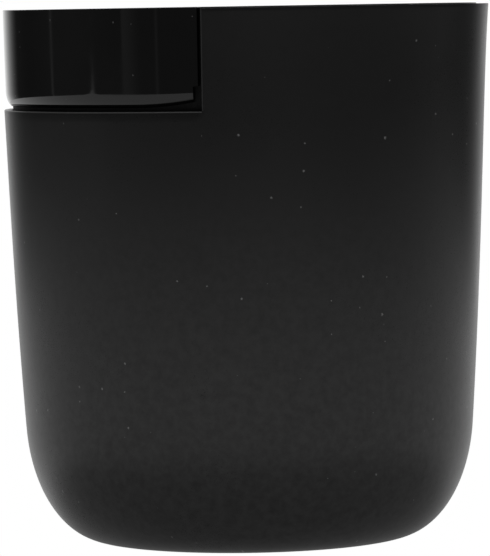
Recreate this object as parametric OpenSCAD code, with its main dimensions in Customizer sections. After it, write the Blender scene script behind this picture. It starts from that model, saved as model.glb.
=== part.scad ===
// Espresso knock box: a soft outer boot, a gloss inner tub that lifts out of it,
// and a rubber-sleeved knock bar that drops into two lined sockets inside the tub.
// Millimetres, +Z up. The origin is the centre of the face that it stands on.
// The bar runs along Y. The boot is cut down on the -X side, which bares the tub's gloss band.

/* [Overall shape] */
// Height of the tub's rim above the table
rim_z = 153; // [145:0.5:162]
// Radius of the wall at the rim, without the flare
mouth_r = 69.1; // [67:0.1:72]
// Radius of the wall carried straight down to the table
foot_r = 61.7; // [59:0.1:63]
// How far the wall bows outwards halfway up
wall_bow = 1.3; // [0:0.1:2]
// Extra radius of the boot's lip
flare = 1.2; // [0:0.1:1.5]

/* [Bottom corner] */
// Height at which the bottom corner runs into the wall
corner_z = 33.5; // [30:0.5:45]
// Width of the corner, from the wall to the flat of the bottom
corner_width = 20; // [18:0.5:28]
// Exponent of the corner's superellipse, 2 being an ellipse
corner_power = 2.1; // [2:0.05:3]

/* [Boot] */
// Thickness of the boot's wall
boot_wall = 2; // [1.8:0.1:2.6]
// Thickness of the boot's floor
boot_floor = 5; // [4:0.5:7]
// Depth of the cut in the boot, from the rim down to its ledge
cut_depth = 28.4; // [24:0.2:34]
// Distance from the middle to the cut's upright edges
cut_x = 11.6; // [11:0.1:14]

/* [Tub] */
// Thickness of the tub's wall
tub_wall = 2.2; // [1.8:0.1:3]
// Thickness of the tub's floor
tub_floor = 2.5; // [2:0.1:4]
// Clearance between the tub and the boot
tub_gap = 0.3; // [0.3:0.05:0.6]
// How far the gloss band stays inside the wall's radius
band_inset = 0.4; // [0.3:0.1:1.4]
// Gap between the band's lower edge and the boot's ledge
band_gap = 1; // [0.8:0.1:3]
// Gap between the band's ends and the cut's upright edges
band_end_gap = 0.3; // [0.3:0.1:3]
// Height of the roll along the band's lower edge
band_roll = 4.2; // [1.5:0.1:5]

/* [Knock bar] */
// Radius of the rubber sleeve
sleeve_r = 11.5; // [10:0.5:12.5]
// Length of the rubber sleeve
sleeve_length = 99; // [94:1:99]
// Radius of the steel core
core_r = 6; // [5:0.5:6.5]
// Depth of the bar's top below the rim
bar_drop = 2.5; // [1.5:0.5:6]
// Half the width of an end plug
plug_r = 8; // [7.5:0.25:8.5]
// Thickness of the rubber liner in a socket
liner = 1.5; // [1.2:0.1:2]

/* [Base pad] */
// Radius of the non-slip pad
pad_r = 31; // [28:1:32]
// How far the pad stands below the boot
pad_proud = 0.6; // [0.4:0.1:1]
// Thickness of the pad
pad_thick = 2.6; // [2:0.1:3]

/* [Hidden] */
$fn = 128;

corner_steps = 18;      // straight bands in the bottom corner
wall_steps = 12;        // straight bands in the wall
roll_steps = 8;         // straight bands in the band's roll
flare_power = 8;        // keeps the flare to the top of the wall
fit = 0.03;             // clearance round pieces that are pressed or bonded together
slip = 0.3;             // clearance of the bar's plugs in their liners
edge = 0.5;             // chamfer on the rims
over = 1;               // how far a cutting solid runs past a face
far = 200;              // longer than anything here

lip_z = rim_z - 0.3;
ledge_z = rim_z - cut_depth;
boot_floor_z = pad_proud + boot_floor;
tub_outset = boot_wall + tub_gap;       // from the wall's radius in to the tub's outside
tub_inset = tub_outset + tub_wall;      // from the wall's radius in to the tub's inside
tub_bottom_z = boot_floor_z + tub_gap;
tub_floor_z = tub_bottom_z + tub_floor;

bar_z = rim_z - bar_drop - sleeve_r;
plug_start = sleeve_length / 2 + fit;
plug_end = 61;
core_end = 56;
plug_rise = plug_r + 1.5;               // from the bar's axis up to the top of a plug

socket_start = sleeve_length / 2 + slip;
socket_r = plug_r + slip + liner;
socket_wall = 2.6;
socket_base = 3;                        // material under the liner
socket_rib = 14;                        // how far the sloping underside runs down the wall

screw_r = 2;
screw_head_r = 3.8;
screw_head = 2.2;
screw_length = 16;
screw_key = 1.45;                       // radius across the corners of the hex recess
screw_key_depth = 1.4;

// Radius of the wall at height z, without the flare
function wall_r(z) = let (t = z / rim_z)
    foot_r + (mouth_r - foot_r) * t + 4 * wall_bow * t * (1 - t);

// Extra radius of the flared lip at height z
function flare_at(z) = flare * pow(z / rim_z, flare_power);

// Radius that the bottom corner takes off, for each step down from the wall at i = corner_steps
function corner_cut(i) = 1 - pow(sin(90 * i / corner_steps), 2 / corner_power);
function corner_rise(i) = 1 - pow(cos(90 * i / corner_steps), 2 / corner_power);

// Side of a cup that lies inset inside the wall's radius, from its floor up to top_z
function cup_side(inset, floor_z, top_z, flared = 0) = concat(
    [for (i = [0 : corner_steps]) let (z = floor_z + (corner_z - floor_z) * corner_rise(i))
        [wall_r(z) - inset - (corner_width - inset) * corner_cut(i), z]],
    [for (i = [1 : wall_steps]) let (z = corner_z + (top_z - corner_z) * i / wall_steps)
        [wall_r(z) - inset + flared * flare_at(z), z]]);

function reversed(list) = [for (i = [len(list) - 1 : -1 : 0]) list[i]];

// A cup between an outer and an inner side, with the edges of its rim chamfered
module cup(outset, bottom_z, inset, floor_z, top_z, flared = 0) {
    lip = flared * flare_at(top_z);
    rotate_extrude()
        polygon(concat([[0, bottom_z]],
                       cup_side(outset, bottom_z, top_z - edge, flared),
                       [[wall_r(top_z) - outset + lip - edge, top_z],
                        [wall_r(top_z) - inset + edge, top_z]],
                       reversed(cup_side(inset, floor_z, top_z - edge)),
                       [[0, floor_z]]));
}

// Everything inside a cup's side, as one solid
module cup_filling(inset, floor_z, top_z)
    rotate_extrude()
        polygon(concat([[0, floor_z]], cup_side(inset, floor_z, top_z), [[0, top_z]]));

// All that lies further out than x = -reach, above height z
module cut_side(reach, z)
    translate([-far - reach, -far, z])
        cube([far, 2 * far, far]);

module outer_boot() {
    color("#1c1c1d")
        difference() {
            cup(0, pad_proud, boot_wall, boot_floor_z, lip_z, 1);
            cut_side(cut_x, ledge_z);
            translate([0, 0, -over])
                cylinder(r = pad_r + fit, h = pad_thick + over);
        }
}

// The gloss band that fills the boot's cut: a thicker stretch of wall with a rolled lower edge
module band() {
    foot_z = ledge_z + band_gap;
    roll_z = foot_z + band_roll;
    neck_r = wall_r(roll_z) - tub_outset;
    inner_r = neck_r - tub_wall / 2;
    roll = [for (i = [0 : roll_steps]) let (a = 90 - 90 * i / roll_steps)
        [neck_r + (tub_outset - band_inset) * cos(a), roll_z - band_roll * sin(a)]];
    side = [for (i = [1 : wall_steps]) let (z = roll_z + (rim_z - edge - roll_z) * i / wall_steps)
        [wall_r(z) - band_inset, z]];
    intersection() {
        rotate_extrude()
            polygon(concat([[inner_r, foot_z]], roll, side,
                           [[wall_r(rim_z) - band_inset - edge, rim_z], [inner_r, rim_z]]));
        cut_side(cut_x + band_end_gap, 0);
    }
}

// A bar along Y at the knock bar's height: round below, with straight sides up to its top
module u_bar(r, rise, y0, y1)
    translate([0, y1, bar_z])
        rotate([90, 0, 0])
            linear_extrude(y1 - y0) {
                circle(r = r);
                translate([-r, 0])
                    square([2 * r, rise]);
            }

// A round bar along Y at the knock bar's height
module rod(r, y0, y1)
    translate([0, y0, bar_z])
        rotate([-90, 0, 0])
            cylinder(r = r, h = y1 - y0);

module both_ends() {
    children();
    mirror([0, 1, 0])
        children();
}

// The block in the tub's wall that holds one end of the bar, with a sloping underside
module socket_block() {
    half = socket_r + socket_wall;
    foot_z = bar_z - socket_r - socket_base;
    slope = socket_wall + socket_rib;
    translate([-half, 0, 0])
        rotate([90, 0, 90])
            linear_extrude(2 * half)
                polygon([[socket_start, foot_z], [socket_start, bar_z + plug_rise],
                         [far / 2, bar_z + plug_rise], [far / 2, foot_z - socket_rib],
                         [socket_start + slope, foot_z - socket_rib]]);
}

module inner_tub() {
    color("#0a0a0b")
        difference() {
            union() {
                cup(tub_outset, tub_bottom_z, tub_inset, tub_floor_z, rim_z);
                band();
                intersection() {
                    cup_filling(tub_outset + tub_wall / 2, tub_bottom_z + tub_floor / 2, rim_z - edge);
                    both_ends() socket_block();
                }
            }
            both_ends() u_bar(socket_r + fit, far, socket_start - over, plug_end + slip + fit);
        }
}

module bar_core() {
    color("#b9bcc0")
        difference() {
            rod(core_r, -core_end, core_end);
            both_ends() rod(screw_r + fit, plug_end - screw_length - over, core_end + over);
        }
}

module bar_sleeve() {
    round_r = 2.5;
    half = sleeve_length / 2;
    color("#161617")
        translate([0, 0, bar_z])
            rotate([90, 0, 0])
                rotate_extrude() {
                    translate([core_r + fit, -half])
                        square([sleeve_r - round_r - core_r - fit, 2 * half]);
                    translate([sleeve_r - round_r - over, round_r - half])
                        square([round_r + over, 2 * (half - round_r)]);
                    for (end = [-1, 1])
                        translate([sleeve_r - round_r, end * (half - round_r)])
                            circle(r = round_r);
                }
}

// Cone of a countersunk screw head, its face at the plug's end
module screw_cone(clearance)
    translate([0, plug_end - screw_head, bar_z])
        rotate([-90, 0, 0])
            cylinder(r1 = screw_r + clearance, r2 = screw_head_r + clearance, h = screw_head);

module bar_plug() {
    color("#26272a")
        difference() {
            u_bar(plug_r, plug_rise, plug_start, plug_end);
            rod(core_r + fit, plug_start - over, core_end);
            rod(screw_r + fit, core_end - over, plug_end + over);
            screw_cone(fit);
        }
}

module bar_plug_front()
    mirror([0, 1, 0])
        bar_plug();

module bar_plug_back()
    bar_plug();

module plug_screws() {
    color("#8d9094")
        both_ends()
            difference() {
                union() {
                    rod(screw_r, plug_end - screw_length, plug_end - screw_head);
                    screw_cone(0);
                }
                translate([0, plug_end - screw_key_depth, bar_z])
                    rotate([-90, 0, 0])
                        cylinder(r = screw_key, h = screw_key_depth + over, $fn = 6);
            }
}

module socket_liner() {
    color("#2d2d2f")
        difference() {
            u_bar(socket_r, plug_rise, socket_start, plug_end + slip);
            u_bar(plug_r + slip, far, socket_start - over, far);
        }
}

module socket_liner_front()
    mirror([0, 1, 0])
        socket_liner();

module socket_liner_back()
    socket_liner();

module base_pad() {
    groove = 1.6;
    groove_depth = 0.8;
    pitch = 5;
    color("#202022")
        difference() {
            cylinder(r = pad_r, h = pad_thick);
            for (r = [2 * pitch : pitch : pad_r - pitch])
                translate([0, 0, -over])
                    difference() {
                        cylinder(r = r + groove / 2, h = groove_depth + over);
                        cylinder(r = r - groove / 2, h = groove_depth + over);
                    }
        }
}

outer_boot();
inner_tub();
bar_core();
bar_sleeve();
bar_plug_front();
bar_plug_back();
plug_screws();
socket_liner_front();
socket_liner_back();
base_pad();
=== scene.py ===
"""Espresso knock box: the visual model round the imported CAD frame.

Metres, +Z up, and the origin at the centre of the face it stands on. The camera looks along +Y.
The boot's cut, which bares the tub's gloss band, faces -X. The knock bar runs along Y.
"""

import math

import bmesh
import bpy
from mathutils import Matrix, Vector


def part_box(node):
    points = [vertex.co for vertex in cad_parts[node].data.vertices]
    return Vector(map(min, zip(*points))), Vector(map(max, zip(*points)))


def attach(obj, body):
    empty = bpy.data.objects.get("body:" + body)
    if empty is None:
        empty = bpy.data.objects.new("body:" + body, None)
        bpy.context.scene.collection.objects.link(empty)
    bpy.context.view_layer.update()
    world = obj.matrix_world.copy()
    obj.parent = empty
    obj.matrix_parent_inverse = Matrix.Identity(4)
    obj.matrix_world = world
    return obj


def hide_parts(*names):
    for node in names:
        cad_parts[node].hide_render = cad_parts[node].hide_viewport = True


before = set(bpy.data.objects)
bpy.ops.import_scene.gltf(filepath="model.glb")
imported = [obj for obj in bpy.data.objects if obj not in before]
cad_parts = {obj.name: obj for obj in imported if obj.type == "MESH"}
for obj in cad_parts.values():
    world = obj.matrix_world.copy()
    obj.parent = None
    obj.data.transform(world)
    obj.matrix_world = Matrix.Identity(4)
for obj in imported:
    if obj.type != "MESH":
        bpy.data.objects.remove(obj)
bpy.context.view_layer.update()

MM = 0.001
TAU = 2 * math.pi
NEAR = 0.001 * MM               # closer than this counts as touching
CLEARANCE = 0.03 * MM           # between a rubber part and the pocket it sits in

# ---------------------------------------------------------------------------------------------
# Dimensions, as in the CAD source. Those that a node's box gives are read from it.
# ---------------------------------------------------------------------------------------------
RIM_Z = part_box("inner_tub")[1].z            # top of the tub
LIP_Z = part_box("outer_boot")[1].z           # top of the boot
BOOT_BOTTOM_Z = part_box("outer_boot")[0].z
TUB_BOTTOM_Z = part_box("inner_tub")[0].z
PAD_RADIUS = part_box("base_pad")[1].x
PAD_TOP_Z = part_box("base_pad")[1].z
SLEEVE_LOW, SLEEVE_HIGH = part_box("bar_sleeve")
BAR_Z = (SLEEVE_LOW.z + SLEEVE_HIGH.z) / 2  # height of the knock bar's axis

MOUTH_RADIUS = 69.1 * MM        # the wall at the rim, without the flare
FOOT_RADIUS = 61.7 * MM         # the wall carried straight down to the table
WALL_BOW = 1.3 * MM
FLARE = 1.2 * MM
FLARE_POWER = 8
CORNER_Z = 33.5 * MM
CORNER_WIDTH = 20 * MM
CORNER_POWER = 2.1
BOOT_WALL = 2 * MM
BOOT_FLOOR_Z = BOOT_BOTTOM_Z + 5 * MM
CUT_DEPTH = 28.4 * MM
CUT_X = 11.6 * MM               # from the middle to the cut's upright edges
LEDGE_Z = RIM_Z - CUT_DEPTH
TUB_OUTSET = 2.3 * MM           # from the wall's radius in to the tub's outside
TUB_INSET = 4.5 * MM            # from the wall's radius in to the tub's inside
TUB_FLOOR_Z = TUB_BOTTOM_Z + 2.5 * MM
BAND_INSET = 0.4 * MM           # from the wall's radius in to the gloss band
BAND_GAP = 1 * MM               # from the ledge up to the band
BAND_END_GAP = 0.3 * MM         # from the cut's upright edges to the band's ends
BAND_ROLL = 4.2 * MM            # height of the roll along the band's lower edge
BAND_END_ROLL = 0.3 * MM        # width of the roll at the band's ends
BAND_NOTCH = 1.4 * MM           # how far the band's lower end stands back from the rest of it
BAND_NOTCH_HEIGHT = 1.5 * MM    # height of that notch above the roll
BAND_RISE = 1.8 * MM            # how far the band's foot sweeps up at its ends
BAND_SWEEP = 18 * MM            # length of that sweep
BAND_END_SHIFT = 0.05 * MM      # how far the band's end stands back above the notch
NOTCH_TAPER = 0.3 * MM          # height of the row of faces below the notch's top
COLUMN_RADIUS = 55 * MM         # inside this radius the columns keep their angles
SOCKET_RADIUS = 9.83 * MM
SOCKET_HALF = 12.4 * MM
SOCKET_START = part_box("socket_liner_back")[0].y
SOCKET_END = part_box("socket_liner_back")[1].y + CLEARANCE
SOCKET_FOOT_Z = BAR_Z - 12.8 * MM
SOCKET_SLOPE = 14.0 / 16.6      # fall of the socket block's underside towards the wall
SOCKET_FALL = 12 * MM           # more than that underside falls before the wall
SOCKET_TOP_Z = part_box("socket_liner_back")[1].z
LINER_OUTER = 9.8 * MM
LINER_INNER = 8.3 * MM
SCREW_HEAD_RADIUS = 3.83 * MM
SCREW_RADIUS = 2.03 * MM
SCREW_HEAD_DEPTH = 2.2 * MM
CORE_RADIUS = 6.03 * MM
SLEEVE_ROUND = 2.5 * MM         # round of the sleeve's ends
PLUG_CORNER = 1.2 * MM          # round of a plug's top corners
PAD_GROOVE_HALF = 0.8 * MM      # half the width of the grooves under the pad
PAD_GROOVE_DEPTH = 0.8 * MM
PAD_GROOVE_PITCH = 5 * MM
CUT_BEVEL = 0.35 * MM           # rounding of the outer edges of the boot's cut
FINE_BEVEL = 0.12 * MM          # and of the other edges of the boot and tub
RUBBER_BEVEL = 0.25 * MM
PLUG_BEVEL = 0.5 * MM


def wall_radius(z):
    """Radius of the wall at height z, without the flare."""
    t = z / RIM_Z
    return FOOT_RADIUS + (MOUTH_RADIUS - FOOT_RADIUS) * t + 4 * WALL_BOW * t * (1 - t)


def flare_at(z):
    """Extra radius of the boot's lip at height z."""
    return FLARE * (z / RIM_Z) ** FLARE_POWER


def corner_side(inset, floor_z, steps):
    """(radius, height) from the flat of a floor up round the bottom corner to the wall."""
    points = []
    for i in range(steps + 1):
        a = math.pi / 2 * i / steps
        z = floor_z + (CORNER_Z - floor_z) * (1 - abs(math.cos(a)) ** (2 / CORNER_POWER))
        cut = 1 - math.sin(a) ** (2 / CORNER_POWER)
        points.append((wall_radius(z) - inset - (CORNER_WIDTH - inset) * cut, z))
    return points


def spread(start, end, steps):
    """Values from start to end in equal steps, both included."""
    return [start + (end - start) * i / steps for i in range(steps + 1)]


# ---------------------------------------------------------------------------------------------
# Mesh helpers
# ---------------------------------------------------------------------------------------------
class Weave:
    """Collects vertices by name, so that patches that meet share them, and the faces on them."""

    def __init__(self):
        self.index = {}
        self.points = []
        self.faces = []
        self.finish = []
        self.uvs = []

    def point(self, key, place, uv=(0, 0)):
        """The vertex called key, made at place the first time."""
        if key not in self.index:
            self.index[key] = len(self.points)
            self.points.append(place)
            self.uvs.append(uv)
        return self.index[key]

    def face(self, *corners, finish=0):
        """A face, leaving out corners that fall together. finish is the place of its material."""
        kept = []
        for c in corners:
            if c not in kept:
                kept.append(c)
        if len(kept) > 2:
            self.faces.append(kept)
            self.finish.append(finish)

    def strip(self, first, second, closed=False, finish=0):
        """Quads between two equally long rows of vertices."""
        count = len(first)
        for i in range(count if closed else count - 1):
            j = (i + 1) % count
            self.face(first[i], first[j], second[j], second[i], finish=finish)


def to_object(weave, name, bevels=(), segments=3, sharp_deg=32):
    """A mesh object of the woven faces, normals outwards. bevels: (size, which edges) pairs."""
    mesh = bpy.data.meshes.new(name)
    mesh.from_pydata([tuple(p) for p in weave.points], [], weave.faces)
    bm = bmesh.new()
    bm.from_mesh(mesh)
    bmesh.ops.recalc_face_normals(bm, faces=bm.faces)
    bm.verts.ensure_lookup_table()
    uv_layer = bm.loops.layers.uv.new("surface")
    for f, finish in zip(bm.faces, weave.finish):
        f.material_index = finish
        us = [weave.uvs[l.vert.index][0] for l in f.loops]
        wrap = max(us) - min(us) > 0.5
        for l, u in zip(f.loops, us):
            v = weave.uvs[l.vert.index][1]
            l[uv_layer].uv = (u + 1 if wrap and u < 0.5 else u, v)
    for size, wanted in bevels:
        chosen = [e for e in bm.edges if is_sharp(e, sharp_deg) and wanted(e)]
        bmesh.ops.bevel(bm, geom=chosen, offset=size, offset_type="OFFSET", segments=segments,
                        profile=0.5, affect="EDGES", clamp_overlap=True, loop_slide=False)
    for f in bm.faces:
        f.smooth = True
    for e in bm.edges:
        e.smooth = not is_sharp(e, sharp_deg)
    bm.to_mesh(mesh)
    bm.free()
    mesh.update()
    made = bpy.data.objects.new(name, mesh)
    bpy.context.scene.collection.objects.link(made)
    return made


def is_sharp(edge, degrees):
    """True if the faces on both sides of the edge turn by more than that angle."""
    return len(edge.link_faces) == 2 and edge.calc_face_angle(0) > math.radians(degrees)


def finish_piece(made, material, body, node):
    """Gives a piece its material and the body it rides on, and hides the CAD node it stands for."""
    made.data.materials.append(material)
    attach(made, body)
    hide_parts(node)


def polar(radius, angle, z):
    """A point at a radius and an angle from +X about the vertical axis."""
    return Vector((radius * math.cos(angle), radius * math.sin(angle), z))


def cut_angle(radius, reach):
    """Angle from +X at which a circle of that radius crosses the plane x = -reach."""
    return math.pi / 2 + math.asin(reach / max(radius, COLUMN_RADIUS))


def surface_uv(angle, z):
    """Turns round the axis, and height in units of the rim's circumference."""
    return ((angle / TAU) % 1.0, z / (TAU * MOUTH_RADIUS))


# ---------------------------------------------------------------------------------------------
# Boot: a soft cup with the cut in its -X side
# ---------------------------------------------------------------------------------------------
RAISED_COLUMNS = 168            # round the part that stands above the ledge
CUT_COLUMNS = 120               # along the ledge


def boot_columns(radius):
    """Angles of the boot's columns at that radius. The raised part lies between the cut's edges."""
    half = cut_angle(radius, CUT_X)
    raised = spread(-half, half, RAISED_COLUMNS)
    cut = spread(half, TAU - half, CUT_COLUMNS)
    return raised + cut[1:-1]


def boot_row(weave, name, radius, z, columns=None):
    """A ring of the boot's vertices at one radius and height, or a stretch of it."""
    angles = boot_columns(radius)
    chosen = range(len(angles)) if columns is None else columns
    return [weave.point((name, j), polar(radius, angles[j], z), surface_uv(angles[j], z))
            for j in chosen]


def make_boot():
    """The outer boot, closed, with its pad recess below and its ledge and lip above."""
    weave = Weave()
    count = RAISED_COLUMNS + CUT_COLUMNS
    raised = range(RAISED_COLUMNS + 1)
    cut = [j % count for j in range(RAISED_COLUMNS, count + 1)]

    recess_radius = PAD_RADIUS + CLEARANCE
    outside = [(recess_radius * f, PAD_TOP_Z) for f in (0.3, 0.65, 1.0)]
    outside += [(recess_radius, BOOT_BOTTOM_Z)]
    outside += corner_side(0, BOOT_BOTTOM_Z, 30)
    outside += [(wall_radius(z) + flare_at(z), z) for z in spread(CORNER_Z, LEDGE_Z, 30)[1:]]
    inside = [(wall_radius(z) - BOOT_WALL, z) for z in spread(LEDGE_Z, CORNER_Z, 20)]
    inside += corner_side(BOOT_WALL, BOOT_FLOOR_Z, 20)[-2::-1]
    inside += [(inside[-1][0] * f, BOOT_FLOOR_Z) for f in (0.65, 0.3)]

    rows = [boot_row(weave, ("out", i), r, z) for i, (r, z) in enumerate(outside)]
    for low, high in zip(rows, rows[1:]):
        weave.strip(low, high, closed=True)
    under = weave.point("under", Vector((0, 0, PAD_TOP_Z)))
    weave.strip([under] * count, rows[0], closed=True)
    ledge_out = rows[-1]

    rows = [boot_row(weave, ("in", i), r, z) for i, (r, z) in enumerate(inside)]
    for low, high in zip(rows, rows[1:]):
        weave.strip(low, high, closed=True)
    middle = weave.point("middle", Vector((0, 0, BOOT_FLOOR_Z)))
    weave.strip(rows[-1], [middle] * count, closed=True)
    ledge_in = rows[0]

    weave.strip([ledge_out[j] for j in cut], [ledge_in[j] for j in cut])

    heights = spread(LEDGE_Z, LIP_Z, 24)[1:]
    outer = [[ledge_out[j] for j in raised]]
    inner = [[ledge_in[j] for j in raised]]
    for i, z in enumerate(heights):
        outer.append(boot_row(weave, ("lip out", i), wall_radius(z) + flare_at(z), z, raised))
        inner.append(boot_row(weave, ("lip in", i), wall_radius(z) - BOOT_WALL, z, raised))
    for low, high in zip(outer, outer[1:]):
        weave.strip(low, high)
    for low, high in zip(inner, inner[1:]):
        weave.strip(low, high)
    weave.strip(outer[-1], inner[-1])
    for end in (0, -1):
        weave.strip([row[end] for row in outer], [row[end] for row in inner])
    return weave


def cut_edge_is_rounded(edge):
    """The outer edges of the boot's ledge and of the cut's upright faces."""
    a, b = (v.co for v in edge.verts)
    if math.hypot(a.x, a.y) < wall_radius(a.z) - 0.5 * BOOT_WALL:
        return False
    on_ledge = max(abs(a.z - LEDGE_Z), abs(b.z - LEDGE_Z)) < NEAR
    on_upright = max(abs(a.x + CUT_X), abs(b.x + CUT_X)) < NEAR and max(a.z, b.z) > LEDGE_Z + NEAR
    across = abs(math.hypot(a.x, a.y) - math.hypot(b.x, b.y)) > 0.5 * BOOT_WALL
    return (on_ledge or on_upright) and not across


def boot_edge_is_rounded(edge):
    """The lip's edges, the inner edge of the ledge and the edge round the pad's recess."""
    a, b = (v.co for v in edge.verts)
    if min(a.z, b.z) > LIP_Z - NEAR:
        return True
    inside = math.hypot(a.x, a.y) < wall_radius(a.z) - 0.5 * BOOT_WALL
    on_ledge = max(abs(a.z - LEDGE_Z), abs(b.z - LEDGE_Z)) < NEAR
    at_corner = max(abs(a.x + CUT_X), abs(b.x + CUT_X)) < NEAR
    return (on_ledge and inside and not at_corner) or max(a.z, b.z) < BOOT_BOTTOM_Z + NEAR


# ---------------------------------------------------------------------------------------------
# Inner tub: a gloss cup whose band fills the boot's cut, with the two sockets for the bar
# ---------------------------------------------------------------------------------------------
TUB_COLUMNS = 160               # round the plain part of the tub
BAND_COLUMNS = 128              # along the band, between its rolled ends
ROLL_STEPS = 12
ROLL_CORNER_STEPS = 8
MATT = 1                        # place of the matt material, which covers what the boot hides


def end_shift(z):
    """How far the band's end stands back at height z: the notch at its foot, and almost none above."""
    above = z - LEDGE_Z - BAND_GAP - BAND_ROLL - BAND_NOTCH_HEIGHT
    t = min(max(above / BAND_END_ROLL, 0), 1)
    return BAND_NOTCH + (BAND_END_SHIFT - BAND_NOTCH) * t


def foot_rise(across):
    """How far the band's foot lies above its middle, at a distance from the band's end."""
    return BAND_RISE * max(1 - max(across, 0) / BAND_SWEEP, 0) ** 2


def roll_step(k):
    """(distance in from the edge, height) of the band's roll, both as parts of the whole, at step k."""
    a = math.pi / 2 * k / ROLL_STEPS
    return 1 - math.cos(a), math.sin(a)


def make_tub():
    """The tub with its band. Each ring of the band's roll runs down one end, along and up the other."""
    weave = Weave()
    band_x = CUT_X + BAND_END_GAP
    band_foot_z = LEDGE_Z + BAND_GAP
    roll_z = band_foot_z + BAND_ROLL
    band_height = TUB_OUTSET - BAND_INSET
    notch_z = roll_z + BAND_NOTCH_HEIGHT
    rise = [roll_z, notch_z - NOTCH_TAPER, notch_z] + spread(notch_z + BAND_END_ROLL, RIM_Z, 20)

    def outside(z):
        return wall_radius(z) - TUB_OUTSET

    def put(key, radius, angle, z):
        return weave.point(key, polar(radius, angle, z), surface_uv(angle, z))

    def plain_angles(radius):
        half = cut_angle(radius, band_x)
        return spread(-half, half, TUB_COLUMNS)

    def band_angles(radius, width=BAND_NOTCH + BAND_END_ROLL):
        start = cut_angle(radius, band_x + width)
        return spread(start, TAU - start, BAND_COLUMNS)

    def foot_at(radius, angle):
        return band_foot_z + foot_rise(-radius * math.cos(angle) - band_x)

    # the cup's outside, up to the band's foot
    side = [(f * (FOOT_RADIUS - CORNER_WIDTH), TUB_BOTTOM_Z) for f in (0.4, 0.8)]
    side += corner_side(TUB_OUTSET, TUB_BOTTOM_Z, 24)
    side += [(outside(z), z) for z in spread(CORNER_Z, band_foot_z, 24)[1:]]
    rows = []
    for i, (r, z) in enumerate(side):
        row = [put(("out", i, "plain", j), r, a, z) for j, a in enumerate(plain_angles(r))]
        for j, a in enumerate(band_angles(r)):
            top = foot_at(r, a) if i == len(side) - 1 else z
            row.append(put(("out", i, "band", j), r, a, top))
        rows.append(row)
    for low, high in zip(rows, rows[1:]):
        weave.strip(low, high, closed=True, finish=MATT)
    under = weave.point("under", Vector((0, 0, TUB_BOTTOM_Z)))
    weave.strip([under] * len(rows[0]), rows[0], closed=True, finish=MATT)
    foot_plain = rows[-1][:TUB_COLUMNS + 1]
    foot_band = rows[-1][TUB_COLUMNS + 1:]

    # the plain wall above the band's foot
    plain = [foot_plain]
    for s, z in enumerate(rise):
        r = outside(z)
        plain.append([put(("plain", s, j), r, a, z) for j, a in enumerate(plain_angles(r))])
    for low, high in zip(plain, plain[1:]):
        weave.strip(low, high, finish=MATT)

    # the band's roll, ring by ring
    def ring(k):
        inward, height = roll_step(k)
        top = height * band_height
        first_end, corner, along, corner_back, second_end = [], [], [], [], []
        for s, z in enumerate(rise):
            r = outside(z)
            a = cut_angle(r, band_x + end_shift(z) + BAND_END_ROLL * inward)
            first_end.append(put(("end", k, s), r + top, a, z))
            second_end.append(put(("end back", k, s), r + top, TAU - a, z))
        for m in range(1, ROLL_CORNER_STEPS):
            b = math.pi / 2 * m / ROLL_CORNER_STEPS
            across = BAND_NOTCH + BAND_END_ROLL * (1 - (1 - inward) * math.cos(b))
            z = roll_z - (BAND_ROLL - foot_rise(across)) * (1 - inward) * math.sin(b)
            r = outside(z)
            a = cut_angle(r, band_x + across)
            if k == ROLL_STEPS:
                corner.append(first_end[0])
                corner_back.append(second_end[0])
            else:
                corner.append(put(("corner", k, m), r + top, a, z))
                corner_back.append(put(("corner back", k, m), r + top, TAU - a, z))
        for c, a in enumerate(band_angles(outside(band_foot_z + BAND_ROLL * inward))):
            foot = foot_at(outside(band_foot_z), a)
            z = foot + (roll_z - foot) * inward
            if k == 0:
                along.append(foot_band[c])
            elif k == ROLL_STEPS and c in (0, BAND_COLUMNS):
                along.append(first_end[0] if c == 0 else second_end[0])
            else:
                along.append(put(("along", k, c), outside(z) + top, a, z))
        return {"first": first_end, "corner": corner, "along": along,
                "corner back": corner_back, "second": second_end}

    rings = [ring(k) for k in range(ROLL_STEPS + 1)]
    lines = [r["first"][::-1] + r["corner"] + r["along"] + r["corner back"][::-1] + r["second"]
             for r in rings]
    for low, high in zip(lines, lines[1:]):
        weave.strip(low, high)

    # the notches between the plain wall's columns and the first ring
    low_ring = rings[0]
    for column, end, corner, foot in ((-1, low_ring["first"], low_ring["corner"], foot_band[0]),
                                      (0, low_ring["second"], low_ring["corner back"], foot_band[-1])):
        edge = [plain[1][column], end[0]] + corner + [foot]
        for a, b in zip(edge, edge[1:]):
            weave.face(plain[0][column], a, b, finish=MATT)
        weave.strip([row[column] for row in plain[1:]], end, finish=MATT)

    # the band's face
    last = rings[-1]
    face_rows = [last["along"]]
    for s, z in enumerate(rise[1:], 1):
        r = outside(z) + band_height
        width = end_shift(z) + BAND_END_ROLL
        row = [put(("face", s, c), r, a, z) for c, a in enumerate(band_angles(r, width))]
        row[0] = last["first"][s]
        row[-1] = last["second"][s]
        face_rows.append(row)
    for low, high in zip(face_rows, face_rows[1:]):
        weave.strip(low, high)

    # the rim's outline, then the rim itself and the inside, column by column
    outline = plain[-1] + [r["first"][-1] for r in rings] + face_rows[-1][1:-1]
    outline += [r["second"][-1] for r in rings[::-1]]

    def inside_angles(radius):
        shift = band_x + end_shift(RIM_Z)
        ends = [cut_angle(radius, shift + BAND_END_ROLL * roll_step(k)[0])
                for k in range(ROLL_STEPS + 1)]
        middle = band_angles(radius, end_shift(RIM_Z) + BAND_END_ROLL)[1:-1]
        return plain_angles(radius) + ends + middle + [TAU - a for a in ends[::-1]]

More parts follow.
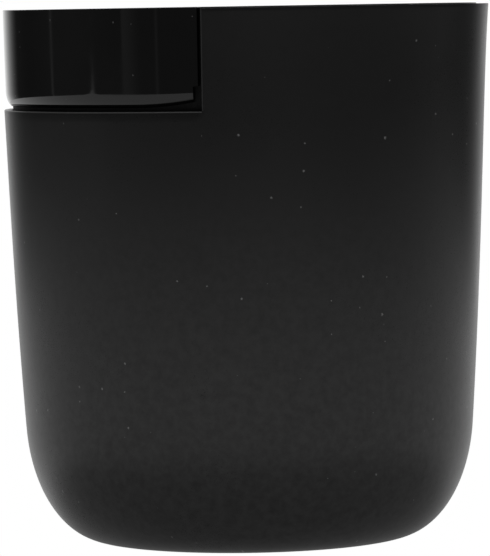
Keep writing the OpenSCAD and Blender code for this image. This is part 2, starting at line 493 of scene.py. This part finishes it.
    hollow = [(wall_radius(z) - TUB_INSET, z) for z in spread(RIM_Z, CORNER_Z, 30)]
    hollow += corner_side(TUB_INSET, TUB_FLOOR_Z, 24)[-2::-1]
    hollow += [(hollow[-1][0] * f, TUB_FLOOR_Z) for f in (0.7, 0.4)]
    rows = [outline]
    for i, (r, z) in enumerate(hollow):
        rows.append([put(("in", i, j), r, a, z) for j, a in enumerate(inside_angles(r))])
    for low, high in zip(rows, rows[1:]):
        weave.strip(low, high, closed=True)
    middle = weave.point("middle", Vector((0, 0, TUB_FLOOR_Z)))
    weave.strip(rows[-1], [middle] * len(outline), closed=True)

    for side_of in (1, -1):
        add_socket(weave, side_of)
    return weave


def u_outline(radius, rise_z, steps=24):
    """(x, z) points of a U open at the top: down the left side, round below and up the right."""
    arc = [(radius * math.cos(a), BAR_Z + radius * math.sin(a))
           for a in spread(math.pi, TAU, steps)]
    return [(-radius, rise_z)] + arc + [(radius, rise_z)]


def add_socket(weave, side):
    """The block in the tub's wall that holds one end of the bar. Its back lies inside the wall."""
    def under(y):
        return SOCKET_FOOT_Z - (y - SOCKET_START) * SOCKET_SLOPE

    def back_y(x, z):
        middle = wall_radius(z) - (TUB_OUTSET + TUB_INSET) / 2
        return math.sqrt(middle ** 2 - x ** 2)

    def put(name, x, y, z):
        return weave.point(("socket", side, name), Vector((x, side * y, z)), (x, z))

    notch = u_outline(SOCKET_RADIUS, SOCKET_TOP_Z)
    front_notch = [put(("front", i), x, SOCKET_START, z) for i, (x, z) in enumerate(notch)]
    deep_notch = [put(("deep", i), x, SOCKET_END, z) for i, (x, z) in enumerate(notch)]
    front, deep, back = {}, {}, {}
    for end in (-1, 1):
        x = end * SOCKET_HALF
        front[end, "top"] = put(("f top", end), x, SOCKET_START, SOCKET_TOP_Z)
        front[end, "foot"] = put(("f foot", end), x, SOCKET_START, under(SOCKET_START))
        deep[end, "top"] = put(("d top", end), x, SOCKET_END, SOCKET_TOP_Z)
        deep[end, "foot"] = put(("d foot", end), x, SOCKET_END, under(SOCKET_END))
        y = back_y(x, SOCKET_TOP_Z)
        back[end, "top"] = put(("b top", end), x, y, SOCKET_TOP_Z)
        y = back_y(x, under(y))
        back[end, "foot"] = put(("b foot", end), x, y, under(y))
    weave.face(front[-1, "top"], front[-1, "foot"], front[1, "foot"], front[1, "top"],
               *front_notch[::-1])
    weave.strip(front_notch, deep_notch)
    weave.face(*deep_notch)
    for rear, fore in ((deep, front), (back, deep)):
        for end in (-1, 1):
            weave.face(fore[end, "top"], fore[end, "foot"], rear[end, "foot"], rear[end, "top"])
        weave.face(fore[-1, "foot"], fore[1, "foot"], rear[1, "foot"], rear[-1, "foot"])
    weave.face(front[-1, "top"], front_notch[0], deep_notch[0], deep[-1, "top"])
    weave.face(front[1, "top"], front_notch[-1], deep_notch[-1], deep[1, "top"])
    weave.face(deep[-1, "top"], deep_notch[0], deep_notch[-1], deep[1, "top"],
               back[1, "top"], back[-1, "top"])
    weave.face(back[-1, "top"], back[1, "top"], back[1, "foot"], back[-1, "foot"])


def tub_edge_is_rounded(edge):
    """The rim's two edges and the sockets' edges, but not the foot of the band's roll."""
    a, b = (v.co for v in edge.verts)
    if min(a.z, b.z) > RIM_Z - NEAR:
        return True
    across = max(abs(a.x), abs(b.x)) < SOCKET_HALF + NEAR
    start = min(abs(a.y), abs(b.y)) > SOCKET_START - NEAR
    end = max(abs(a.y), abs(b.y)) < SOCKET_END + NEAR
    low = min(a.z, b.z) > SOCKET_FOOT_Z - SOCKET_FALL
    return across and start and end and low and max(a.z, b.z) < SOCKET_TOP_Z + NEAR


# ---------------------------------------------------------------------------------------------
# Knock bar, liners and base pad
# ---------------------------------------------------------------------------------------------
def lathe_y(weave, profile, columns=96):
    """A closed ring turned round the bar's axis from a closed loop of (radius, y) points."""
    rings = []
    for i, (r, y) in enumerate(profile):
        ring = []
        for j in range(columns):
            a = TAU * j / columns
            place = Vector((r * math.cos(a), y, BAR_Z + r * math.sin(a)))
            ring.append(weave.point((i, j), place, (j / columns, y / (TAU * MOUTH_RADIUS))))
        rings.append(ring)
    for i, ring in enumerate(rings):
        weave.strip(ring, rings[(i + 1) % len(rings)], closed=True)


def make_sleeve():
    """The rubber sleeve, with round ends and a bore for the core."""
    weave = Weave()
    half = SLEEVE_HIGH.y
    radius = SLEEVE_HIGH.z - BAR_Z
    profile = [(CORE_RADIUS, -half)]
    for end in (-1, 1):
        arc = [(radius - SLEEVE_ROUND * (1 - math.cos(a)),
                end * (half - SLEEVE_ROUND * (1 - math.sin(a)))) for a in spread(math.pi / 2, 0, 8)]
        profile += arc if end < 0 else arc[::-1]
        if end < 0:
            profile += [(radius, y) for y in spread(SLEEVE_ROUND - half, half - SLEEVE_ROUND, 40)[1:-1]]
    profile.append((CORE_RADIUS, half))
    lathe_y(weave, profile)
    return weave


def plug_outline(radius, rise_z, corner=PLUG_CORNER, steps=28):
    """(x, z) points round a plug's end: round below, straight-sided above, with rounded top corners."""
    below = [(radius * math.cos(a), BAR_Z + radius * math.sin(a))
             for a in spread(math.pi, TAU, steps)]
    right = [(radius - corner * (1 - math.cos(a)), rise_z - corner * (1 - math.sin(a)))
             for a in spread(0, math.pi / 2, 5)]
    left = [(-x, z) for x, z in right[::-1]]
    return below + right + left


def make_plug(node, side):
    """An end plug of the bar, with the countersink for its screw in the outer face."""
    weave = Weave()
    low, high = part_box(node)
    ends = (low.y, high.y) if side > 0 else (high.y, low.y)
    outline = plug_outline(high.x, high.z)
    rings = []
    for i, y in enumerate(ends):
        rings.append([weave.point((i, j), Vector((x, y, z))) for j, (x, z) in enumerate(outline)])
    weave.strip(rings[0], rings[1], closed=True)
    weave.face(*rings[0])
    previous = rings[1]
    for i, (radius, depth) in enumerate(((SCREW_HEAD_RADIUS, 0), (SCREW_RADIUS, SCREW_HEAD_DEPTH))):
        ring = []
        for j, (x, z) in enumerate(outline):
            a = math.atan2(z - BAR_Z, x)
            place = Vector((radius * math.cos(a), ends[1] - side * depth, BAR_Z + radius * math.sin(a)))
            ring.append(weave.point(("hole", i, j), place))
        weave.strip(previous, ring, closed=True)
        previous = ring
    weave.face(*previous)
    return weave


def make_liner(node):
    """A U-shaped rubber liner for one socket."""
    weave = Weave()
    low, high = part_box(node)
    outline = u_outline(LINER_OUTER, high.z) + u_outline(LINER_INNER, high.z)[::-1]
    rings = []
    for y in (low.y, high.y):
        rings.append([weave.point((y, j), Vector((x, y, z))) for j, (x, z) in enumerate(outline)])
    weave.strip(rings[0], rings[1], closed=True)
    half = len(outline) // 2
    for ring in rings:
        weave.strip(ring[:half], ring[:half - 1:-1])
    return weave


def make_pad():
    """The non-slip pad, with its ring grooves below."""
    weave = Weave()
    profile = [(PAD_GROOVE_PITCH, 0)]
    for i in range(2, 6):
        inner = i * PAD_GROOVE_PITCH - PAD_GROOVE_HALF
        outer = i * PAD_GROOVE_PITCH + PAD_GROOVE_HALF
        profile += [(inner, 0), (inner, PAD_GROOVE_DEPTH), (outer, PAD_GROOVE_DEPTH), (outer, 0)]
    profile += [(PAD_RADIUS, 0), (PAD_RADIUS, PAD_TOP_Z), (PAD_RADIUS / 2, PAD_TOP_Z)]
    columns = 144
    rings = []
    for i, (r, z) in enumerate(profile):
        rings.append([weave.point((i, j), polar(r, TAU * j / columns, z), (j / columns, r))
                      for j in range(columns)])
    for low, high in zip(rings, rings[1:]):
        weave.strip(low, high, closed=True)
    for ring, z in ((rings[0], 0), (rings[-1], PAD_TOP_Z)):
        middle = weave.point(("middle", z), Vector((0, 0, z)))
        weave.strip([middle] * columns, ring, closed=True)
    return weave


def any_edge(edge):
    """Every sharp edge is rounded."""
    return True


def plug_edge_is_rounded(edge):
    """The plug's own edges, but not those inside the countersink."""
    return all(math.hypot(v.co.x, v.co.z - BAR_Z) > SCREW_HEAD_RADIUS - NEAR for v in edge.verts)


# ---------------------------------------------------------------------------------------------
# Materials
# ---------------------------------------------------------------------------------------------
class Shader:
    """A Principled material under construction. Its sockets take numbers or other nodes' outputs."""

    def __init__(self, name):
        self.material = bpy.data.materials.new(name)
        self.material.use_nodes = True
        self.tree = self.material.node_tree
        self.tree.nodes.clear()
        self.output = self.node("OutputMaterial")
        self.surface = self.node("BsdfPrincipled")
        self.tree.links.new(self.surface.outputs["BSDF"], self.output.inputs["Surface"])
        self.place = self.node("TexCoord").outputs["Object"]

    def node(self, kind, **settings):
        made = self.tree.nodes.new("ShaderNode" + kind)
        for key, value in settings.items():
            setattr(made, key, value)
        return made

    def feed(self, socket, value):
        if isinstance(value, bpy.types.NodeSocket):
            self.tree.links.new(value, socket)
        else:
            socket.default_value = value

    def set(self, **values):
        """Sets the Principled shader's sockets, their names with underscores for spaces."""
        for key, value in values.items():
            self.feed(self.surface.inputs[key.replace("_", " ")], value)

    def noise(self, scale, detail=2.0, roughness=0.5, place=None, stretch=None):
        """Noise of that many cells to the metre, 0 to 1."""
        vector = place or self.place
        if stretch:
            mapping = self.node("Mapping")
            self.feed(mapping.inputs["Vector"], vector)
            mapping.inputs["Scale"].default_value = stretch
            vector = mapping.outputs["Vector"]
        made = self.node("TexNoise")
        self.feed(made.inputs["Vector"], vector)
        made.inputs["Scale"].default_value = scale
        made.inputs["Detail"].default_value = detail
        made.inputs["Roughness"].default_value = roughness
        return made.outputs["Fac"]

    def scaled(self, value, low, high, to_low, to_high, smooth=False):
        """value, taken from low..high to to_low..to_high and held there."""
        made = self.node("MapRange", clamp=True,
                         interpolation_type="SMOOTHSTEP" if smooth else "LINEAR")
        self.feed(made.inputs["Value"], value)
        for key, number in (("From Min", low), ("From Max", high),
                            ("To Min", to_low), ("To Max", to_high)):
            self.feed(made.inputs[key], number)
        return made.outputs["Result"]

    def sum(self, a, b, operation="ADD", c=0.0):
        """a and b added, or put through another operation of the Math node."""
        made = self.node("Math", operation=operation)
        for socket, value in zip(made.inputs, (a, b, c)):
            self.feed(socket, value)
        return made.outputs["Value"]

    def axes(self):
        """The X, Y and Z of the object's own coordinates."""
        split = self.node("SeparateXYZ")
        self.feed(split.inputs["Vector"], self.place)
        return split.outputs["X"], split.outputs["Y"], split.outputs["Z"]

    def mix(self, factor, a, b):
        """A colour from a to b."""
        made = self.node("Mix", data_type="RGBA")
        self.feed(made.inputs["Factor"], factor)
        colours = [s for s in made.inputs if s.type == "RGBA"]
        self.feed(colours[0], a)
        self.feed(colours[1], b)
        return [s for s in made.outputs if s.type == "RGBA"][0]

    def bump(self, height, distance, strength=1.0, normal=None):
        made = self.node("Bump")
        self.feed(made.inputs["Height"], height)
        made.inputs["Distance"].default_value = distance
        made.inputs["Strength"].default_value = strength
        if normal is not None:
            self.feed(made.inputs["Normal"], normal)
        return made.outputs["Normal"]

    def specks(self, cell, size, share):
        """Dust on a turned surface: 1 inside a speck. cell and size in metres, share of cells with one."""
        uv = self.node("UVMap", uv_map="surface")
        mapping = self.node("Mapping")
        self.feed(mapping.inputs["Vector"], uv.outputs["UV"])
        across = TAU * MOUTH_RADIUS / cell
        mapping.inputs["Scale"].default_value = (across, across, 1)
        wobble = self.node("TexNoise", noise_dimensions="2D")
        self.feed(wobble.inputs["Vector"], mapping.outputs["Vector"])
        wobble.inputs["Scale"].default_value = 1.5 * cell / size
        cells = self.node("TexVoronoi", voronoi_dimensions="2D")
        self.feed(cells.inputs["Vector"], mapping.outputs["Vector"])
        cells.inputs["Scale"].default_value = 1.0
        split = self.node("SeparateColor")
        self.feed(split.inputs["Color"], cells.outputs["Color"])
        there = self.scaled(split.outputs["Red"], 1 - share, 1, 0, 1)
        reach = self.sum(there, size / cell, "MULTIPLY")
        reach = self.sum(reach, self.scaled(wobble.outputs["Fac"], 0.3, 0.7, 0.5, 1.5), "MULTIPLY")
        inside = self.node("Math", operation="SUBTRACT")
        self.feed(inside.inputs[0], reach)
        self.feed(inside.inputs[1], cells.outputs["Distance"])
        return self.scaled(inside.outputs["Value"], 0, 0.25 * size / cell, 0, 1)


def grey(value, tint=0.0):
    """A colour of that linear grey, a little bluer by tint."""
    return (value, value, value * (1 + tint), 1)


LEDGE_HIGHLIGHT = 0.07               # painted highlight: tone of the strip along the boot's ledge edge
UPRIGHT_HIGHLIGHT = 0.03             # and of the painted highlight strips along the cut's upright edges
FOOT_PAINTED_LIGHT = 0.045               # painted light: tone of the boot low down, paler where the boot is more brightly lit
PAINTED_LIGHT_HEIGHTS = (0.02, 0.13)     # between these heights, in metres, that paler tone fades out
SHEEN = (0.02, 0.06)            # at the rim and low down
SHEEN_ROUGHNESS = 0.3
HIGHLIGHT_HALF = 0.15 * MM           # half the width of the painted highlight lines
HIGHLIGHT_INSET = 0.18 * MM          # from the edge in to their middle


def soft_touch_rubber():
    """The boot: soft-touch coating with a fine grain, faint rubbed patches and a little dust, paler low
    down as painted light, with painted highlights along the cut's outer edges.
    """
    s = Shader("soft_touch_rubber")
    patches = s.noise(22, 3, 0.55)
    mottle = s.noise(420, 3, 0.6)
    grain = s.noise(2600, 2, 0.5)
    dust = s.sum(s.specks(9 * MM, 0.34 * MM, 0.30), s.specks(23 * MM, 0.5 * MM, 0.25), "MAXIMUM")
    x, _, z = s.axes()
    # painted light: the boot's colour made paler low down, where it is more brightly lit
    low = s.scaled(z, *PAINTED_LIGHT_HEIGHTS, 1, 0, True)
    tone = s.mix(s.scaled(patches, 0.3, 0.7, 0, 1, True), grey(0.0070), grey(0.0090))
    tone = s.mix(low, tone, grey(FOOT_PAINTED_LIGHT))
    tone = s.mix(s.scaled(mottle, 0.35, 0.75, 0, 0.5), tone, grey(0.011))
    tone = s.mix(s.sum(dust, 0.55, "MULTIPLY"), tone, grey(0.30))
    # painted highlights: paler strips along the ledge's outer edge and the cut's upright edges, where the
    # rounded edges catch the light
    highlight_at_ledge = s.sum(z, LEDGE_Z - HIGHLIGHT_INSET, "COMPARE", HIGHLIGHT_HALF)
    on_ledge = s.sum(highlight_at_ledge, s.sum(x, -CUT_X, "LESS_THAN"), "MULTIPLY")
    highlight_at_upright = s.sum(x, HIGHLIGHT_INSET - CUT_X, "COMPARE", HIGHLIGHT_HALF)
    on_upright = s.sum(highlight_at_upright, s.sum(z, LEDGE_Z, "GREATER_THAN"), "MULTIPLY")
    tone = s.mix(on_ledge, tone, grey(LEDGE_HIGHLIGHT))
    tone = s.mix(on_upright, tone, grey(UPRIGHT_HIGHLIGHT))
    s.set(Base_Color=tone, IOR=1.3)
    s.set(Sheen_Weight=s.scaled(low, 0, 1, *SHEEN), Sheen_Roughness=SHEEN_ROUGHNESS)
    rough = s.sum(s.scaled(patches, 0.3, 0.7, 0.28, 0.34), s.scaled(grain, 0.3, 0.7, -0.03, 0.03))
    s.set(Roughness=rough)
    normal = s.bump(mottle, 0.012 * MM, 0.8)
    s.set(Normal=s.bump(grain, 0.01 * MM, 1.0, normal))
    return s.material


def polished_plastic():
    """The tub: polished black plastic with faint smudges, hairline scratches and a few dust specks."""
    s = Shader("polished_black_plastic")
    smudge = s.noise(38, 4, 0.6)
    fine = s.noise(900, 2, 0.5)
    hairline = s.noise(160, 3, 0.6, stretch=(1, 1, 0.08))
    dust = s.specks(6 * MM, 0.26 * MM, 0.16)
    tone = s.mix(s.scaled(smudge, 0.35, 0.7, 0, 1), grey(0.0022), grey(0.0034))
    s.set(Base_Color=s.mix(s.sum(dust, 0.35, "MULTIPLY"), tone, grey(0.20)), IOR=1.42)
    rough = s.sum(s.scaled(smudge, 0.45, 0.75, 0.05, 0.13, True),
                  s.scaled(hairline, 0.5, 0.8, 0.0, 0.03))
    s.set(Roughness=s.sum(rough, s.sum(dust, 0.4, "MULTIPLY")))
    s.set(Normal=s.bump(fine, 0.0015 * MM, 0.6))
    return s.material


def matt_plastic():
    """The tub's outside below and beside the band, left matt from the mould, with flow marks."""
    s = Shader("matt_black_plastic")
    flow = s.noise(45, 3, 0.6, stretch=(1, 1, 0.3))
    pits = s.noise(1500, 3, 0.6)
    tone = s.mix(s.scaled(flow, 0.3, 0.7, 0, 1), grey(0.0025), grey(0.0040))
    s.set(Base_Color=tone, IOR=1.25, Roughness=s.scaled(pits, 0.3, 0.7, 0.5, 0.65))
    s.set(Normal=s.bump(pits, 0.015 * MM, 0.8))
    return s.material


def moulded_rubber(name, tone_value, grain_scale, rough_low, rough_high):
    """Solid rubber, with a moulded grain and paler rubbed places."""
    s = Shader(name)
    worn = s.noise(70, 4, 0.6)
    grain = s.noise(grain_scale, 3, 0.6)
    scuff = s.noise(500, 4, 0.65, stretch=(1, 0.25, 1))
    tone = s.mix(s.scaled(worn, 0.4, 0.75, 0, 1, True), grey(tone_value), grey(tone_value * 1.7))
    tone = s.mix(s.scaled(scuff, 0.58, 0.8, 0, 0.5), tone, grey(tone_value * 3))
    s.set(Base_Color=tone, IOR=1.5)
    s.set(Roughness=s.scaled(worn, 0.3, 0.7, rough_low, rough_high))
    s.set(Normal=s.bump(grain, 0.03 * MM, 0.7, s.bump(scuff, 0.02 * MM, 0.6)))
    return s.material


def textured_plastic():
    """The plugs: spark-eroded nylon, finely pitted."""
    s = Shader("textured_plastic")
    pits = s.noise(1900, 3, 0.6)
    patches = s.noise(90, 3, 0.5)
    tone = s.mix(s.scaled(patches, 0.3, 0.7, 0, 1), grey(0.022, 0.05), grey(0.030, 0.05))
    s.set(Base_Color=tone, IOR=1.5, Roughness=s.scaled(pits, 0.3, 0.7, 0.42, 0.6))
    s.set(Normal=s.bump(pits, 0.02 * MM, 0.8))
    return s.material


def brushed_steel(name, tone_value, stretch):
    """Steel with its brushing or turning marks along the stretch, and faint stains."""
    s = Shader(name)
    marks = s.noise(2400, 3, 0.6, stretch=stretch)
    stain = s.noise(160, 3, 0.55)
    tone = s.mix(s.scaled(stain, 0.4, 0.8, 0, 1), grey(tone_value), grey(tone_value * 0.8))
    s.set(Base_Color=tone, Metallic=1.0)
    s.set(Roughness=s.sum(s.scaled(marks, 0.3, 0.7, 0.22, 0.38), s.scaled(stain, 0.5, 0.8, 0, 0.1)))
    s.set(Normal=s.bump(marks, 0.004 * MM, 0.7))
    return s.material


# ---------------------------------------------------------------------------------------------
# The object
# ---------------------------------------------------------------------------------------------
boot_bevels = ((CUT_BEVEL, cut_edge_is_rounded), (FINE_BEVEL, boot_edge_is_rounded))
boot = to_object(make_boot(), "boot", boot_bevels)
finish_piece(boot, soft_touch_rubber(), "boot", "outer_boot")
pad = to_object(make_pad(), "foot_pad", ((RUBBER_BEVEL, any_edge),), segments=2)
finish_piece(pad, moulded_rubber("pad_rubber", 0.02, 1500, 0.6, 0.8), "boot", "base_pad")

tub = to_object(make_tub(), "tub", ((FINE_BEVEL, tub_edge_is_rounded),))
finish_piece(tub, polished_plastic(), "tub", "inner_tub")
tub.data.materials.append(matt_plastic())
liner_material = moulded_rubber("liner_rubber", 0.028, 1500, 0.55, 0.75)
for place in ("front", "back"):
    liner = to_object(make_liner("socket_liner_" + place), "liner_" + place,
                      ((RUBBER_BEVEL, any_edge),), segments=2)
    finish_piece(liner, liner_material, "tub", "socket_liner_" + place)

sleeve = to_object(make_sleeve(), "sleeve")
finish_piece(sleeve, moulded_rubber("sleeve_rubber", 0.016, 1100, 0.5, 0.7),
             "knock_bar", "bar_sleeve")
plug_material = textured_plastic()
for place, turn in (("front", -1), ("back", 1)):
    plug = to_object(make_plug("bar_plug_" + place, turn), "plug_" + place,
                     ((PLUG_BEVEL, plug_edge_is_rounded),))
    finish_piece(plug, plug_material, "knock_bar", "bar_plug_" + place)

for node, made in (("bar_core", brushed_steel("core_steel", 0.55, (1, 0.04, 1))),
                   ("plug_screws", brushed_steel("screw_steel", 0.45, (1, 0.3, 1)))):
    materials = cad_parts[node].data.materials
    materials.clear()
    materials.append(made)


# ---------------------------------------------------------------------------------------------
# Floor, light and camera
# ---------------------------------------------------------------------------------------------
TABLE_REACH = 1.15              # half the table's diagonal, in metres
TABLE_TURN = math.radians(76)   # its left corner, from the camera's side round to -X
TONGUE = ((1.1, 4), (1.5, 1.6), (2.2, 0.8), (2.8, 0.05))    # (metres, degrees to each side)
FLOOR_GLOW = 0.75               # the table's light on the object, 1 being white
FLOOR_SHADE = 0.26              # the same in the object's shade, close in front of it
SHADE_RADIUS = (0.10, 0.17)     # metres from the middle over which that shade ends
SHADE_FRONT = (-0.03, 0.05)     # and over which it ends from the front to the back


def make_floor():
    """A pale square table top, one corner turned to the left and drawn out into a narrow tongue.

    It lights the object, less so in the shade close in front, and is plain white to the camera.
    """
    weave = Weave()
    steps = 24
    corners = []
    for i in range(4):
        a = TABLE_TURN + math.pi / 2 * i
        corners.append(Vector((-math.sin(a), -math.cos(a), 0)) * TABLE_REACH)
    for i in range(steps + 1):
        for j in range(steps + 1):
            u, v = i / steps, j / steps
            place = (corners[0] * (1 - u) * (1 - v) + corners[1] * u * (1 - v)
                     + corners[2] * u * v + corners[3] * (1 - u) * v)
            weave.point((i, j), place)
    for i in range(steps):
        for j in range(steps):
            weave.face(*(weave.index[c] for c in ((i, j), (i + 1, j), (i + 1, j + 1), (i, j + 1))))
    # the tongue, which runs on from the corner
    sides = [[], []]
    for i, (distance, half) in enumerate(TONGUE):
        for side, row in zip((-1, 1), sides):
            a = TABLE_TURN + side * math.radians(half)
            place = Vector((-math.sin(a), -math.cos(a), 0)) * distance
            row.append(weave.point(("tongue", side, i), place))
    weave.strip(*sides)
    floor = to_object(weave, "floor")
    s = Shader("pale_table")
    grain = s.scaled(s.noise(60, 4, 0.6), 0.3, 0.7, 0.96, 1.0)
    s.set(Base_Color=grey(0.0), Roughness=0.9, Specular_IOR_Level=0.0)
    x, y, _ = s.axes()
    off = s.sum(s.sum(s.sum(x, 2.0, "POWER"), s.sum(y, 2.0, "POWER")), 0.5, "POWER")
    near = s.scaled(off, *SHADE_RADIUS, 1, 0, True)
    in_front = s.scaled(y, *SHADE_FRONT, 1, 0, True)
    shade = s.sum(near, in_front, "MULTIPLY")
    glow = s.scaled(shade, 0, 1, FLOOR_GLOW, FLOOR_SHADE)
    s.set(Emission_Color=grey(1.0), Emission_Strength=s.sum(grain, glow, "MULTIPLY"))
    plain = s.node("Emission")
    mixer = s.node("MixShader")
    s.feed(mixer.inputs["Fac"], s.node("LightPath").outputs["Is Camera Ray"])
    s.feed(mixer.inputs[1], s.surface.outputs["BSDF"])
    s.feed(mixer.inputs[2], plain.outputs["Emission"])
    s.feed(s.output.inputs["Surface"], mixer.outputs["Shader"])
    floor.data.materials.append(s.material)


# Radiance of the studio's parts, 1 being white, and where they lie
ROOM_FRONT = 0.12
ROOM_SIDE = 0.035
SIDE_FROM_TO = (math.radians(85), math.radians(132))    # from the camera's side round to the back
BACK_BRIGHT = 1.0
BACK_FROM_TO = (math.radians(138), math.radians(168))
TOP_BRIGHT = 0.8
TOP_FROM_TO = (0.55, 0.9)                               # by the sine of the elevation
BACKDROP = 1.0
# (start, full, end, radiance): degrees from the camera's side round to -X
STRIPS = ((103, 104.5, 106, 0.14), (49, 59.5, 60, 0.12), (40.5, 41.6, 42.8, 0.10))


def make_world():
    """A studio, bright above and behind, dim in front and darkest at the sides, with upright strips.

    The camera sees a plain white backdrop in its place.
    """
    world = bpy.data.worlds.new("studio")
    bpy.context.scene.world = world
    world.use_nodes = True
    tree = world.node_tree
    tree.nodes.clear()

    def node(kind, **settings):
        made = tree.nodes.new("ShaderNode" + kind)
        for key, value in settings.items():
            setattr(made, key, value)
        return made

    def feed(socket, value):
        if isinstance(value, bpy.types.NodeSocket):
            tree.links.new(value, socket)
        else:
            socket.default_value = value

    def calc(operation, a, b=0.0):
        made = node("Math", operation=operation)
        feed(made.inputs[0], a)
        feed(made.inputs[1], b)
        return made.outputs["Value"]

    def ease(value, low, high, to_low=0.0, to_high=1.0):
        made = node("MapRange", interpolation_type="SMOOTHSTEP")
        for key, number in (("Value", value), ("From Min", low), ("From Max", high),
                            ("To Min", to_low), ("To Max", to_high)):
            feed(made.inputs[key], number)
        return made.outputs["Result"]

    split = node("SeparateXYZ")
    feed(split.inputs["Vector"], node("TexCoord").outputs["Generated"])
    round_left = calc("ARCTAN2", calc("MULTIPLY", split.outputs["X"], -1.0),
                      calc("MULTIPLY", split.outputs["Y"], -1.0))
    turned = calc("ABSOLUTE", round_left)
    upward = split.outputs["Z"]
    light = calc("ADD", ease(turned, *SIDE_FROM_TO, ROOM_FRONT, ROOM_SIDE),
                 ease(turned, *BACK_FROM_TO, 0.0, BACK_BRIGHT))
    light = calc("ADD", light, ease(upward, *TOP_FROM_TO, 0.0, TOP_BRIGHT))
    for start, full, end, strength in STRIPS:
        rising = ease(round_left, math.radians(start), math.radians(full))
        falling = ease(round_left, math.radians(full), math.radians(end), 1.0, 0.0)
        light = calc("ADD", light, calc("MULTIPLY", calc("MULTIPLY", rising, falling), strength))
    studio = node("Background")
    feed(studio.inputs["Color"], light)
    backdrop = node("Background")
    backdrop.inputs["Color"].default_value = grey(BACKDROP)
    mixer = node("MixShader")
    feed(mixer.inputs["Fac"], node("LightPath").outputs["Is Camera Ray"])
    feed(mixer.inputs[1], studio.outputs["Background"])
    feed(mixer.inputs[2], backdrop.outputs["Background"])
    feed(node("OutputWorld").inputs["Surface"], mixer.outputs["Shader"])


CAMERA_DISTANCE = 1.331         # metres, from the object's axis
CAMERA_RISE = 0.5 * MM          # above the rim
CAMERA_LENS = 300.4
CAMERA_TILT = math.radians(-0.97)
AIM = Vector((-0.65 * MM, 0, RIM_Z / 2 - 1.5 * MM))


def make_camera():
    """The viewing angle: level with the rim, far off, with a long lens and a slight tilt."""
    data = bpy.data.cameras.new("camera")
    data.lens = CAMERA_LENS
    data.sensor_width = 36
    data.clip_start = 0.1
    data.clip_end = 50
    camera = bpy.data.objects.new("camera", data)
    bpy.context.scene.collection.objects.link(camera)
    camera.location = (0, -CAMERA_DISTANCE, RIM_Z + CAMERA_RISE)
    looking = (AIM - camera.location).to_track_quat("-Z", "Y")
    tilt = Matrix.Rotation(CAMERA_TILT, 4, "Z")
    camera.rotation_euler = (looking.to_matrix().to_4x4() @ tilt).to_euler()
    bpy.context.scene.camera = camera


make_camera()
make_floor()
make_world()
bpy.context.scene.view_settings.view_transform = "Standard"
bpy.context.scene.view_settings.look = "None"
